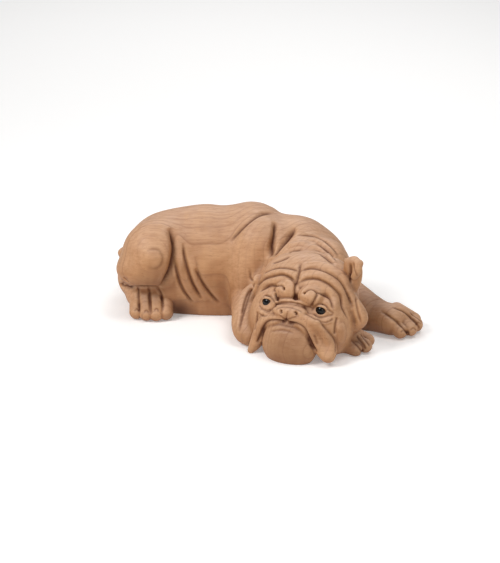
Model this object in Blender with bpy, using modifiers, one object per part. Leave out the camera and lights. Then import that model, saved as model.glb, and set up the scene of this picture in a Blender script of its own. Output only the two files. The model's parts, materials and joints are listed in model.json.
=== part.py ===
"""A bulldog carved from one block of suar wood, lying with its chin on the floor, with glass eyes."""

import math

import bmesh
import bpy
import numpy as np
from mathutils import Euler, Matrix, Vector
from mathutils.bvhtree import BVHTree

FIGURE_LENGTH = 0.500  # rump to the tip of the stretched foreleg
EYE_DIAMETER = 0.018  # glass ball
EYE_GAP = 0.0003  # between the glass and its socket

FORM_LENGTH = 501.9  # FIGURE_LENGTH in the units that the form below is drawn in
UNIT = FIGURE_LENGTH / FORM_LENGTH
EYE_RADIUS = EYE_DIAMETER / 2 / UNIT

HEAD_YAW = math.radians(28)  # the head is turned this far to the dog's right
HEAD_ROLL = math.radians(1.8)  # and its left side rides a little higher
HEAD_PLACE = Vector((37.3, -109.2, 0))  # floor point below the middle of the face
BODY_PLANE = 122  # the Y of the body's middle
EYE_SPREAD = 45.8  # from the middle between the eyes to each of them
EYE_MIDDLE = 0.2  # from the face's middle to that point
EYE_HEIGHT = 82
EYE_FRONT = 5.8  # how far forward the glass comes
EYE_SHOWN = 6  # half the height of glass between the lids
LID = 2.2  # thickness of a lid
BLUNT = 0.9  # how round the bottom of a crease is

VOXEL = 2.2  # grain of the modelled surface
FACETS = 8200  # triangles that are left on the body
EYE_SEGMENTS = 20

WOOD_COLOUR = (0.50, 0.30, 0.17, 1)
WOOD_ROUGHNESS = 0.5
GLASS_COLOUR = (0.02, 0.011, 0.006, 1)
GLASS_ROUGHNESS = 0.05


def head_frame():
    """Right, forward and up of the head, as columns, with its place on the floor."""
    turn = Matrix.Rotation(-HEAD_YAW, 3, "Z") @ Matrix.Rotation(-HEAD_ROLL, 3, "Y")
    right = turn @ Vector((1, 0, 0))
    forward = turn @ Vector((0, -1, 0))
    up = turn @ Vector((0, 0, 1))
    return Matrix((right, forward, up)).transposed()


HEAD = head_frame()


def head_point(across, forward, up):
    return HEAD_PLACE + HEAD @ Vector((across, forward, up))


class Ball:
    """A rounded mass: an ellipsoid with half-sizes along its own axes."""

    def __init__(self, centre, radii, turn=(0, 0, 0), blend=12, frame=None):
        axes = Euler([math.radians(angle) for angle in turn]).to_matrix()
        if frame is None:
            self.centre = np.array(centre, float)
        else:
            self.centre = np.array(head_point(*centre))
            axes = frame @ axes
        self.axes = np.array(axes)
        self.radii = np.array(radii, float)
        self.blend = blend
        self.reach = max(radii)

    def distance(self, points):
        local = (points - self.centre) @ self.axes
        near = np.linalg.norm(local / self.radii, axis=1)
        slope = np.linalg.norm(local / self.radii**2, axis=1)
        return near * (near - 1) / np.maximum(slope, 1e-9)

    def box(self):
        half = np.sqrt(((self.axes * self.radii) ** 2).sum(axis=1))
        return self.centre - half, self.centre + half

    def add_to(self, form):
        place = Matrix.Translation(Vector(self.centre)) @ Matrix(self.axes.tolist()).to_4x4()
        size = Matrix.Diagonal((*self.radii, 1))
        bmesh.ops.create_icosphere(form, subdivisions=3, radius=1, matrix=place @ size)


def smooth_path(points, steps=4):
    """Catmull-Rom points through the given ones, ends included."""
    points = np.array(points, float)
    padded = np.vstack([2 * points[0] - points[1], points, 2 * points[-1] - points[-2]])
    result = []
    for i in range(len(points) - 1):
        a, b, c, d = padded[i : i + 4]
        for t in np.arange(steps) / steps:
            bend = 2 * a - 5 * b + 4 * c - d
            swing = 3 * b - a - 3 * c + d
            result.append(b + ((c - a) * t + bend * t**2 + swing * t**3) / 2)
    result.append(points[-1])
    return np.array(result)


class Roll:
    """A limb, lip or fold: a round run along a smooth path, with a radius at each of its points."""

    def __init__(self, path, radii, blend=12, frame=None):
        if frame is not None:
            path = [head_point(*point) for point in path]
        run = smooth_path([(*point, radius) for point, radius in zip(path, radii)])
        self.points = run[:, :3]
        self.radii = run[:, 3]
        self.blend = blend

    def distance(self, points):
        best = np.full(len(points), np.inf)
        for i in range(len(self.points) - 1):
            start, along = self.points[i], self.points[i + 1] - self.points[i]
            share = np.clip((points - start) @ along / (along @ along), 0, 1)
            gap = np.linalg.norm(points - start - share[:, None] * along, axis=1)
            radius = self.radii[i] + share * (self.radii[i + 1] - self.radii[i])
            np.minimum(best, gap - radius, out=best)
        return best

    def box(self):
        radii = self.radii[:, None]
        return (self.points - radii).min(axis=0), (self.points + radii).max(axis=0)

    def add_to(self, form):
        for i in range(len(self.points) - 1):
            length = np.linalg.norm(self.points[i + 1] - self.points[i])
            count = max(1, int(length / (0.4 * min(self.radii[i], self.radii[i + 1]))))
            for share in np.arange(count) / count:
                place = self.points[i] + share * (self.points[i + 1] - self.points[i])
                radius = self.radii[i] + share * (self.radii[i + 1] - self.radii[i])
                bmesh.ops.create_icosphere(
                    form, subdivisions=2, radius=radius, matrix=Matrix.Translation(Vector(place))
                )
        bmesh.ops.create_icosphere(
            form, subdivisions=2, radius=self.radii[-1], matrix=Matrix.Translation(Vector(self.points[-1]))
        )


def far_side(mass_maker):
    """Both sides of the body: the maker is called with the near side's sign and the far side's."""
    return mass_maker(-1) + mass_maker(1)


def trunk():
    return [
        Ball((-160, 118, 78), (86, 76, 86.5), blend=20),
        Ball((-178, 112, 50), (76, 60, 50), blend=20),
        Ball((-105, 122, 84), (92, 80, 89), blend=20),
        Ball((-30, 122, 86), (79, 84, 91), blend=20),
        Ball((44, 98, 84), (72, 76, 76), blend=16),
        Ball((24, 100, 106), (54, 54, 51), blend=14),
        Ball((-80, 122, 30), (120, 67, 58), blend=20),
        Ball((-243, 118, 92), (11, 9, 9), blend=8),
    ]


def hind_leg(side):
    """Folded hind leg: thigh, knee and a foot of four toes. The far one is tucked lower."""
    sunk = 0 if side < 0 else 34

    def place(x, off, z):
        return x, BODY_PLANE + side * off, z - sunk

    masses = [
        Ball(place(-186, 46, 110), (48, 42, 50), blend=24),
        Ball(place(-193, 54, 104), (48, 42, 48), blend=16),
        Ball(place(-202, 60, 84), (50, 36, 34), blend=12),
        Ball(place(-186, 82, 110), (19, 18, 19), blend=14),
        Ball((-203, BODY_PLANE + side * 42, 30), (36, 36, 22), blend=8),
    ]
    for x, reach in ((-220, 72), (-203, 80), (-187, 82), (-171, 77)):
        path = [
            (x * 0.5 - 100, BODY_PLANE + side * 42, 46),
            (x * 0.9 - 20, BODY_PLANE + side * (reach - 16), 34),
            (x, BODY_PLANE + side * (reach - 1), 12),
        ]
        masses.append(Roll(path, [13, 13, 12], blend=2))
    return masses


def forequarters():
    return [
        Ball((78, 90, 85), (52, 54, 52), blend=14),
        Ball((-14, 74, 112), (48, 44, 54), blend=16),
        Ball((-32, 54, 62), (34, 32, 64), blend=12),
        Roll([(-34, 50, 36), (-38, 0, 26), (-34, -44, 20), (10, -62, 20)], [30, 24, 21, 20], blend=8),
        Roll([(10, -40, 22), (60, -60, 20), (96, -72, 20)], [24, 20, 20], blend=8),
        Roll(
            [(78, 104, 50), (122, 53, 39), (153, 15, 29), (165, 8, 26), (178, -2, 24), (194, -17, 22)],
            [40, 35, 32, 29, 26, 22.5],
            blend=10,
        ),
    ]


def small_paw():
    toes = (
        ((128, -72, 22), (153, -74, 12)),
        ((120, -84, 20), (148, -94, 11)),
        ((108, -92, 16), (132, -104, 9)),
    )
    return [
        Ball((120, -82, 20), (26, 22, 20), blend=8),
        *[Roll([knuckle, tip], [13, 11], blend=2) for knuckle, tip in toes],
    ]


def long_paw():
    toes = (
        ((188, -14, 26), (208, -35, 12)),
        ((198, -6, 28), (224, -28, 13)),
        ((205, 4, 29), (235, -11, 14)),
        ((206, 14, 28), (234, 10, 14)),
    )
    return [
        Ball((203, -6, 23), (28, 22, 23), blend=10),
        *[Roll([knuckle, tip], [14, 12], blend=2) for knuckle, tip in toes],
    ]


def neck():
    return [
        Ball((58, 35, 84), (68, 62, 60), blend=16),
        Ball((62, 4, 60), (68, 58, 56), blend=16),
        Ball((98, 32, 85), (34, 50, 55), blend=16),
        Ball((4, 8, 52), (38, 44, 46), blend=14),
        Roll(
            [(-24, -2, 76), (-36, -16, 60), (-42, -36, 38), (-40, -54, 22), (-32, -64, 16)],
            [9, 15, 19, 20, 17],
            blend=8,
        ),
    ]


def eye_centre(side):
    """Middle of the glass ball, from how far forward its front stands."""
    return EYE_MIDDLE + side * EYE_SPREAD, EYE_FRONT - EYE_RADIUS, EYE_HEIGHT


def eyelids(side):
    """Upper and lower lid as thin rolls round the glass, meeting at an outer and an inner corner."""
    x, y, z = eye_centre(side)
    lids = []
    for rise, thickness in ((1, LID), (-1, 0.85 * LID)):
        path = []
        for turn in (-1.4, -0.7, 0, 0.7, 1.5):
            across = side * math.sin(turn) * (EYE_RADIUS + LID)
            up = rise * math.cos(turn) * (EYE_SHOWN + thickness)
            path.append((x + across, y + EYE_RADIUS * (0.5 - 0.16 * abs(turn)), z + up))
        ends = 0.7 * thickness
        lids.append(Roll(path, [ends, thickness, thickness, thickness, ends], blend=2, frame=HEAD))
    return lids


def head():
    masses = [
        Ball((-4, -66, 80), (76, 66, 68), blend=14, frame=HEAD),
        Ball((-3, -50, 40), (74, 60, 50), blend=16, frame=HEAD),
        Ball((-3, -8, 56), (58, 30, 41), blend=10, frame=HEAD),
        *chin(),
        Ball((1, 15, 79), (28.5, 14, 12), blend=2, frame=HEAD),
        Roll(
            [(-38, -2, 77), (-24, 7, 88), (-1, 11, 93), (20, 7, 91), (36, -2, 84)],
            [3, 4.5, 5, 4.5, 3],
            blend=3,
            frame=HEAD,
        ),
        Ball((-12, -5, 104), (22, 15, 16), blend=3, frame=HEAD),
        Ball((26, -5, 100), (21, 15, 15.5), blend=3, frame=HEAD),
    ]
    for side in (-1, 1):
        eye_across, _, eye_up = eye_centre(side)
        masses += [
            Ball((side * 33 - 4, -60, 92), (46, 50, 50), blend=12, frame=HEAD),
            Ball((side * 52 - 3, -30, 48), (33, 42, 48), blend=12, frame=HEAD),
            Ball((eye_across, -15, eye_up), (21, 15, 18), blend=6, frame=HEAD),
            *eyelids(side),
        ]
    return masses + flews() + ear() + [
        Ball((-84, -40, 92), (7, 14, 18), blend=6, frame=HEAD),
        Roll(
            [(71, -48, 100), (81, -52, 76), (89, -53, 58), (82, -52, 45)],
            [5, 11, 11.5, 9],
            blend=8,
            frame=HEAD,
        ),
    ]


def chin():
    return [
        Ball((-3, 12, 20), (45, 28, 35), blend=5, frame=HEAD),
        Ball((-4, 11, 40), (38, 23, 26), blend=8, frame=HEAD),
    ]


def flews():
    """Upper lips: a wide flap that hangs left of the chin as it is seen, and a wider one right of it."""
    return [
        Roll(
            [(-8, 21, 70), (-22, 19, 65), (-37, 15, 59), (-50, 11, 47), (-57, 9, 31), (-62, 12, 16), (-67, 19, 6)],
            [6, 8, 9.5, 10, 10.5, 9.5, 5.5],
            blend=3,
            frame=HEAD,
        ),
        Roll(
            [(20, 17, 73), (38, 14, 68), (48, 8, 59), (56, 4, 46), (61, 3, 30), (64, 7, 19), (65, 11, 13)],
            [8, 9.5, 10.5, 11, 11, 10.5, 8.5],
            blend=3,
            frame=HEAD,
        ),
        Roll(
            [(8, 21, 72), (22, 20, 66), (34, 17, 57), (41, 13, 45), (48, 11, 30), (54, 12, 20), (60, 13, 14)],
            [6, 7.5, 9, 9, 9.5, 9.5, 8.5],
            blend=6,
            frame=HEAD,
        ),
    ]


def ear():
    """Left ear: a thin sheet that stands up, with its top folded forward and down."""
    return [
        Ball((73, -62, 124), (14, 6, 30), turn=(0, 6, -12), blend=8, frame=HEAD),
        Roll([(63, -60, 146), (74, -59, 148.5), (86, -57, 146)], [4.5, 5.5, 5.5], blend=5, frame=HEAD),
        Roll([(84, -55, 145), (84, -53, 135), (79, -52, 126)], [6, 7, 5.5], blend=3, frame=HEAD),
        Ball((73, -57, 138), (14, 6, 13), blend=4, frame=HEAD),
    ]


def masses_of_dog():
    return (
        trunk()
        + far_side(hind_leg)
        + forequarters()
        + neck()
        + small_paw()
        + long_paw()
        + head()
    )


def join_smoothly(first, second, blend):
    overlap = np.maximum(blend - np.abs(first - second), 0) / blend
    return np.minimum(first, second) - overlap**2 * blend / 4


def form_distance(points, masses):
    """Distance to the blended form, below zero inside it."""
    result = np.full(len(points), 1e3)
    for mass in masses:
        low, high = mass.box()
        margin = 2 * mass.blend
        near = ((points > low - margin) & (points < high + margin)).all(axis=1)
        if near.any():
            result[near] = join_smoothly(result[near], mass.distance(points[near]), mass.blend)
    return result


def mesh_points(mesh):
    points = np.empty(len(mesh.vertices) * 3)
    mesh.vertices.foreach_get("co", points)
    return points.reshape(-1, 3)


def settle(mesh, masses, rounds=3, step=0.5, most=6):
    """Moves each vertex down or up the slope of the blended form, onto its surface."""
    points = mesh_points(mesh)
    for _ in range(rounds):
        distance = form_distance(points, masses)
        ahead = [form_distance(points + step * axis, masses) for axis in np.eye(3)]
        slope = (np.stack(ahead, axis=1) - distance[:, None]) / step
        steepness = np.maximum((slope**2).sum(axis=1), 0.3)
        move = np.clip(distance / steepness, -most, most)
        points -= move[:, None] * slope
    mesh.vertices.foreach_set("co", points.ravel())
    mesh.update()


def remesh(piece, voxel):
    modifier = piece.modifiers.new("Remesh", "REMESH")
    modifier.mode = "VOXEL"
    modifier.voxel_size = voxel
    bpy.context.view_layer.objects.active = piece
    bpy.ops.object.modifier_apply(modifier=modifier.name)


class View:
    """A place that the form is looked at from, so that carving can be laid out as seen there."""

    aim = Vector((-32.4, 20, 76.4))
    centre = (250, 281.5)
    distance = 2500
    pitch = math.radians(20)
    size = 1.62

    def sight(self, spot):
        forward = Vector((0, math.cos(self.pitch), -math.sin(self.pitch)))
        up = Vector((0, math.sin(self.pitch), math.cos(self.pitch)))
        eye = self.aim - forward * self.distance
        across = (spot[0] - self.centre[0]) * self.size
        rise = (self.centre[1] - spot[1]) * self.size
        return eye, (forward * self.distance + Vector((1, 0, 0)) * across + up * rise).normalized()


class Stroke:
    """A crease cut along a smooth line, or a roll raised along it, with half width and depth or height."""

    def __init__(self, spots, width, depth=0.0, height=0.0, fade=0.2):
        self.spots = spots
        self.width = width
        self.depth = depth
        self.height = height
        self.fade = fade

    def lay(self, surface, view):
        """The line on the surface, as points and their normals."""
        line = []
        for spot in smooth_path(self.spots, steps=6):
            eye, sight = view.sight(spot)
            hit, normal, _, _ = surface.ray_cast(eye, sight)
            if hit is None:
                hit, normal, _, _ = surface.find_nearest(eye + sight * view.distance)
            line.append((*hit, *normal))
        return np.array(line)

    def shape(self, gap, share):
        """Move along the normal at these distances from the line, and at these shares of its length."""
        near = np.clip(1 - np.hypot(gap, BLUNT) / self.width, 0, 1)
        fade = np.clip(np.minimum(share, 1 - share) / self.fade, 0, 1) ** 0.7
        return fade * (self.height * (1 - (1 - near) ** 2) - self.depth * near**1.8)


def mirrored(line):
    """The same line on the far side of the body."""
    result = line.copy()
    result[:, 1] = 2 * BODY_PLANE - result[:, 1]
    result[:, 4] *= -1
    return result


def along_line(points, normals, line, reach):
    """Points within reach of the line: which, how far, where along it, and how far they face its way."""
    places, facing = line[:, :3], line[:, 3:]
    near = ((points > places.min(axis=0) - reach) & (points < places.max(axis=0) + reach)).all(axis=1)
    index = np.flatnonzero(near)
    best = np.full(len(index), np.inf)
    run = np.zeros(len(index))
    front = np.zeros(len(index))
    lengths = np.maximum(np.linalg.norm(np.diff(places, axis=0), axis=1), 1e-6)
    starts = np.concatenate([[0], np.cumsum(lengths)])
    for i, length in enumerate(lengths):
        along = places[i + 1] - places[i]
        share = np.clip((points[index] - places[i]) @ along / length**2, 0, 1)
        gap = np.linalg.norm(points[index] - places[i] - share[:, None] * along, axis=1)
        closer = gap < best
        best[closer] = gap[closer]
        run[closer] = starts[i] + share[closer] * length
        front[closer] = (normals[index] @ facing[i])[closer]
    return index, best, run / starts[-1], np.clip(front * 3, 0, 1)


def carve(mesh, strokes, both_sides=()):
    """Cuts and raises all strokes at once, each laid on the form as it is before any of them."""
    surface = BVHTree.FromPolygons([v.co for v in mesh.vertices], [p.vertices for p in mesh.polygons])
    points = mesh_points(mesh)
    normals = np.empty(len(mesh.vertices) * 3)
    mesh.vertices.foreach_get("normal", normals)
    normals = normals.reshape(-1, 3)
    view = View()
    move = np.zeros(len(points))
    for stroke in (*strokes, *both_sides):
        line = stroke.lay(surface, view)
        for run in (line, mirrored(line)) if stroke in both_sides else (line,):
            index, gap, share, front = along_line(points, normals, run, stroke.width)
            move[index] += stroke.shape(gap, share) * front
    points += move[:, None] * normals
    mesh.vertices.foreach_set("co", points.ravel())
    mesh.update()


def body_rolls():
    flank = [
        [(180.5, 255), (183.5, 272), (189, 288), (197.5, 302)],
        [(189, 256), (193, 272), (199, 286), (209, 300)],
    ]
    return [Stroke(line, 9, height=3) for line in flank]


def body_creases():
    thigh = [(169.8, 227.5), (174.3, 240), (175.2, 252.5), (172.5, 267.7), (167.1, 279.3), (160.9, 286.9)]
    hock = [(119, 285), (128, 287), (145.7, 287), (160.9, 287)]
    flank = [
        [(183.2, 243), (185, 257.9), (188.6, 272.1), (193, 283.8), (202, 298.9)],
        [(176, 262), (178.8, 279.3), (184.1, 291.8), (193, 303.4)],
        [(195, 268), (202.9, 283.8), (210.9, 294.5), (219.8, 304.3)],
    ]
    shoulder = [(230, 242), (241.5, 228.3), (253, 218.4), (262.1, 213.8), (272.8, 213.2)]
    return [
        Stroke(thigh, 14, depth=13),
        Stroke(hock, 7, depth=6),
        Stroke(shoulder, 9, depth=5),
        *[Stroke(fold, 6.5, depth=4.5) for fold in flank],
    ]


def neck_rolls():
    folds = [
        [(304, 238), (318, 241), (328, 247.5), (337, 257)],
        [(306, 246), (318, 248), (327, 254), (335, 262)],
        [(288, 246), (300, 243), (308, 245)],
    ]
    arm = [(251, 289), (246, 302), (241, 318), (238, 334)]
    return [Stroke(fold, 7, height=2.5) for fold in folds] + [Stroke(arm, 7, height=2.5)]


def neck_creases():
    deep = [
        [(275.9, 222), (275.1, 234.4), (272.1, 245.9), (269.8, 258)],
        [(296, 228), (286.6, 239), (279, 247.4), (272, 257)],
    ]
    folds = [
        [(296.6, 235.2), (310.3, 235.2), (321.8, 239), (331.8, 247.4), (339.4, 256.6)],
        [(315.7, 243.6), (324.1, 249), (331.8, 255.9), (337.9, 262)],
        [(311.1, 252), (320.3, 253.6), (328.7, 259.7), (334.8, 265)],
        [(285.1, 254.3), (295, 250.5), (303.5, 249.7)],
        [(272, 263), (283.6, 258.9), (290, 256)],
    ]
    arm = [
        [(255, 280), (248, 300), (242, 318), (239, 334)],
        [(250, 288), (245, 300), (241.3, 315)],
    ]
    ear_hollow = [(350.5, 263), (350.5, 272), (350.5, 284)]
    return [
        *[Stroke(crease, 10, depth=9) for crease in deep],
        *[Stroke(fold, 7, depth=4) for fold in folds],
        *[Stroke(fold, 7, depth=5) for fold in arm],
        Stroke(ear_hollow, 5, depth=4),
    ]


def face_rolls():
    right_brow = [
        [(301, 289), (309, 284.3), (319, 285), (328, 290.5), (335.5, 299), (338, 309)],
        [
            *((299.5, 277.5), (308, 273.6), (320, 274.6), (331.5, 280.5)),
            *((340.5, 290.5), (345.5, 302), (350, 313)),
        ],
        [(303, 266.5), (316, 263.5), (330, 267.5), (343, 277), (350, 289)],
    ]
    left_brow = [
        [(294, 289), (287.5, 280.8), (278, 279.3), (268, 281.8), (260, 287)],
        [(297, 277), (289.5, 272.8), (280, 271.3), (270, 272.8), (262.5, 277)],
    ]
    pouches = [
        [(316, 319.5), (324, 322), (332, 319.5)],
        [(259, 310.5), (263.5, 313), (269, 312.5)],
    ]
    cheek = [(340, 322), (342, 334), (341, 346)]
    return [
        *[Stroke(roll, 8, height=2.6) for roll in right_brow],
        *[Stroke(roll, 6.5, height=2.2) for roll in left_brow],
        *[Stroke(pouch, 5, height=2) for pouch in pouches],
        Stroke(cheek, 9, height=2.5),
    ]


def face_creases():
    middle = [(300.2, 262), (299, 271.3), (296, 284), (295.3, 294), (295.6, 302)]
    brow = [
        [
            *((299, 271.3), (311, 268.2), (321.6, 270.3), (332.1, 275.2)),
            *((339.1, 280.1), (344, 287.1), (348.4, 297.4), (353, 308)),
        ],
        [(298.5, 271.1), (291.5, 268.9), (281.9, 268), (273.9, 269.2), (264, 273.5)],
        [
            *((297, 283.6), (305.8, 279.4), (316.3, 279), (325, 282.2)),
            *((332, 286.8), (339.8, 295.5), (342.2, 307), (348.4, 319.4)),
        ],
        [(295.9, 281.7), (288.3, 276.6), (281.9, 274.7), (275.5, 275.9), (264.3, 279.4), (258, 285.5)],
    ]
    curls = [
        [
            *((303, 294), (306.8, 290.3), (311, 288.9), (315.3, 290.3)),
            *((323.3, 294.8), (329.3, 298), (332.1, 303.3), (333, 309)),
        ],
        [(283.5, 290), (281.5, 285.4), (274.9, 285.8), (269.8, 285.8), (264.3, 288.4), (260, 291)],
        [(316, 290), (317.5, 294), (316, 297.6), (314.2, 301.2), (311, 307)],
        [(275.5, 286), (274.5, 290), (275.5, 293.5), (276.7, 298), (279.1, 302)],
    ]
    muzzle = [
        [
            *((265, 313), (269.1, 310.7), (272.3, 308.5), (277.1, 304.3)),
            *((280.3, 302.8), (286.7, 302.3), (294.6, 303), (301, 305.5)),
        ],
        [
            *((303.3, 314.2), (308.2, 314.6), (314.6, 318.1), (319.8, 320.9)),
            *((326.8, 329.6), (333.9, 338.1), (336, 345.1), (335.5, 354)),
        ],
        [(337.4, 317), (335.6, 325.1), (334.6, 335)],
        [(257.3, 311), (256.6, 320.2), (254, 330)],
    ]
    mouth = [
        [
            *((287, 321.9), (276.6, 320.9), (269.6, 320.9), (265.4, 324)),
            *((262.9, 329.6), (260.4, 336.3), (257, 343.5)),
        ],
        [
            *((287, 321.9), (297, 324.4), (303.3, 327.9), (306.8, 333.9)),
            *((309.6, 339.8), (312.5, 346.1), (317, 353)),
        ],
    ]
    return [
        Stroke(middle, 6, depth=4.5),
        *[Stroke(line, 5, depth=3.2, fade=0.12) for line in brow],
        *[Stroke(line, 5, depth=4, fade=0.1) for line in curls],
        *[Stroke(line, 5, depth=3, fade=0.12) for line in muzzle],
        *[Stroke(line, 6, depth=5, fade=0.08) for line in mouth],
    ]


def model_body(voxel):
    """The dog in form units, with a ragged underside that is still to be sawn flat."""
    masses = masses_of_dog()
    form = bmesh.new()
    for mass in masses:
        mass.add_to(form)
    mesh = bpy.data.meshes.new("body")
    form.to_mesh(mesh)
    form.free()
    piece = bpy.data.objects.new("body", mesh)
    bpy.context.scene.collection.objects.link(piece)
    remesh(piece, voxel)
    settle(piece.data, masses)
    remesh(piece, voxel)
    settle(piece.data, masses)
    carve(
        piece.data,
        neck_rolls() + face_rolls() + neck_creases() + face_creases(),
        both_sides=body_rolls() + body_creases(),
    )
    return piece


def apply_modifier(piece, modifier):
    with bpy.context.temp_override(object=piece, active_object=piece, selected_objects=[piece]):
        bpy.ops.object.modifier_apply(modifier=modifier.name)


def thin_out(piece, facets):
    """Fewer triangles where the form is plain, down to the number wanted."""
    modifier = piece.modifiers.new("Decimate", "DECIMATE")
    modifier.use_collapse_triangulate = True
    triangles = sum(len(face.vertices) - 2 for face in piece.data.polygons)
    modifier.ratio = facets / triangles
    apply_modifier(piece, modifier)


def keep_in(collection, piece):
    for other in list(piece.users_collection):
        other.objects.unlink(piece)
    collection.objects.link(piece)


def new_collection(name):
    result = bpy.data.collections.new(name)
    bpy.context.scene.collection.children.link(result)
    return result


def cutter(piece):
    """Makes a helper of the piece, which shows as wire and stays out of a render."""
    piece.hide_render = True
    piece.display_type = "WIRE"
    return piece


def subtract(piece, tool):
    modifier = piece.modifiers.new(tool.name, "BOOLEAN")
    modifier.operation = "DIFFERENCE"
    modifier.solver = "EXACT"
    modifier.object = tool


def material(name, colour, roughness):
    result = bpy.data.materials.new(name)
    result.use_nodes = True
    shader = result.node_tree.nodes["Principled BSDF"]
    shader.inputs["Base Color"].default_value = colour
    shader.inputs["Roughness"].default_value = roughness
    shader.inputs["Metallic"].default_value = 0
    return result


def stand_at_origin(body, others):
    """Moves everything so that the middle of the body's underside is at the origin."""
    graph = bpy.context.evaluated_depsgraph_get()
    finished = mesh_points(body.evaluated_get(graph).data)
    low, high = finished.min(axis=0), finished.max(axis=0)
    shift = Vector(((low[0] + high[0]) / -2, (low[1] + high[1]) / -2, -low[2]))
    for piece in [body, *others]:
        piece.location += shift


def floor_saw():
    """A block below the floor's level, well over the figure's size each way."""
    half = 1.5 * FIGURE_LENGTH
    bpy.ops.mesh.primitive_cube_add(size=2 * half, location=(0, 0, -half))
    block = bpy.context.active_object
    block.name = "floor_saw"
    return block


def eye_ball(name, radius, place):
    bpy.ops.mesh.primitive_uv_sphere_add(
        segments=EYE_SEGMENTS, ring_count=EYE_SEGMENTS // 2, radius=radius, location=place
    )
    ball = bpy.context.active_object
    ball.name = name
    return ball


def main():
    for obj in list(bpy.data.objects):
        bpy.data.objects.remove(obj)
    body = model_body(VOXEL)
    thin_out(body, FACETS)
    body.data.transform(Matrix.Scale(UNIT, 4))
    eyes = []
    cutters = [cutter(floor_saw())]
    for name, side in (("eye_left", 1), ("eye_right", -1)):
        place = head_point(*eye_centre(side)) * UNIT
        eyes.append(eye_ball(name, EYE_DIAMETER / 2, place))
        cutters.append(cutter(eye_ball(name + "_socket", EYE_DIAMETER / 2 + 2 * EYE_GAP, place)))
    for tool in cutters:
        subtract(body, tool)
    stand_at_origin(body, eyes + cutters)
    figure = new_collection("carved_wooden_bulldog")
    for piece in (body, *eyes):
        keep_in(figure, piece)
        piece.data.polygons.foreach_set("use_smooth", [True] * len(piece.data.polygons))
    body.data.materials.append(material("carved_suar_wood", WOOD_COLOUR, WOOD_ROUGHNESS))
    for eye in eyes:
        eye.data.materials.append(material(eye.name + "_glass", GLASS_COLOUR, GLASS_ROUGHNESS))
    helpers = new_collection("cutters")
    for tool in cutters:
        keep_in(helpers, tool)


main()
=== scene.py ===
"""The looks of the carved bulldog: fine carving, waxed suar wood, glass eyes, studio light and camera.

The form is drawn in form millimetres and set in the frame by the places of the two glass eyes."""

import json
import math

import bmesh
import bpy
import numpy as np
from mathutils import Euler, Matrix, Vector
from mathutils.bvhtree import BVHTree
from mathutils.kdtree import KDTree

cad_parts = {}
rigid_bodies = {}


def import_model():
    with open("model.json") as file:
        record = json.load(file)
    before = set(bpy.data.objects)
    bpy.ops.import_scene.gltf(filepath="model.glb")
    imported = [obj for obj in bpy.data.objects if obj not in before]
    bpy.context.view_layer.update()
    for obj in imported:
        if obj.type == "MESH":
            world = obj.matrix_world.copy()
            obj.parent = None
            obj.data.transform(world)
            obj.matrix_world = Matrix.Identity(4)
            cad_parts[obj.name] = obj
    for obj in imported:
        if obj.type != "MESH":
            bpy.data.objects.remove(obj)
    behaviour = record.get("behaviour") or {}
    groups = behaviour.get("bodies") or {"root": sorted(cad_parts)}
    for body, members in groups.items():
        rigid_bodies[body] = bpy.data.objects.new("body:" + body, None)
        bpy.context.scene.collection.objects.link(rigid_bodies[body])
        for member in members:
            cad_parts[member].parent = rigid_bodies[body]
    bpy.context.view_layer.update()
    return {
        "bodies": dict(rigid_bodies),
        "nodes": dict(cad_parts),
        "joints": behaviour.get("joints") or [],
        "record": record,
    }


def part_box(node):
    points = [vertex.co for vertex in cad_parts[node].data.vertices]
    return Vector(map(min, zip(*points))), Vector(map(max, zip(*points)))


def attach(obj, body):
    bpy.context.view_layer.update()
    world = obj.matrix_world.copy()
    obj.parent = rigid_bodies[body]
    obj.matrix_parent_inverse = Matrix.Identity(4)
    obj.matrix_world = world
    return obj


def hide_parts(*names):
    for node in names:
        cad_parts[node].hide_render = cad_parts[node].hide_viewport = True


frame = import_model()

HEAD_YAW = math.radians(28)  # the head is turned this far to the dog's right
HEAD_ROLL = math.radians(1.8)  # and its left side rides a little higher
HEAD_PLACE = Vector((37.3, -109.2, 0))  # floor point below the middle of the face
BODY_PLANE = 122  # the Y of the body's middle
EYE_SPREAD = 45.8  # from the middle between the eyes to each of them
EYE_MIDDLE = 0.2  # from the face's middle to that point
EYE_HEIGHT = 82
EYE_FRONT = 5.8  # how far forward the glass comes
EYE_SHOWN = 6  # half the height of glass between the lids
LID = 2.2  # thickness of a lid
BLUNT = 0.9  # how round the bottom of a crease is

ROUGH_GRAIN = 2.6  # form millimetres between the points that the form is first shaped with
FINE_GRAIN = 1.3  # and then
MOST_TRIANGLES = 190_000
SOCKET_GAP = 0.0006  # metres of room round the glass, a little more than in the solid
SAW_DEPTH = 0.2  # metres that the saw clears below the floor
SOFT_EDGE = math.radians(60)  # an edge that turns more than this stays sharp
EYES_OUT = 0.1  # how far each eye looks outwards, as a slope
EYES_UP = 0.05

STAIN_FILL = 0.4  # share of a crease's half width that the stain fills
STAIN_SEEP = 1.2  # and how far it has seeped past that
STAIN_LEAST = 0.35  # how dark it is in the shallowest crease
STAIN_DEPTH = 6  # and how many form millimetres of depth would add a full black to that
HOLLOW_ROUNDS = (4, 36)  # rounds of smoothing that show a narrow hollow, and then a wide one
# painted shade where parts shade each other: a form point, how far round it, and how much
PAINTED_SHADE_SPOTS = (
    ((160, 5, 22), 52, 0.95),
    ((178, -16, 8), 34, 0.6),
    ((-150, 57, 8), 34, 0.95),
    ((-192, 40, 58), 44, 0.5),
    ((20, -145, 20), 64, 0.42),
    ((132, -98, 12), 40, 0.45),
)
SHADE_SPOT_CORE = 1.3  # above 1, the middle of a painted shade spot is even
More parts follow.
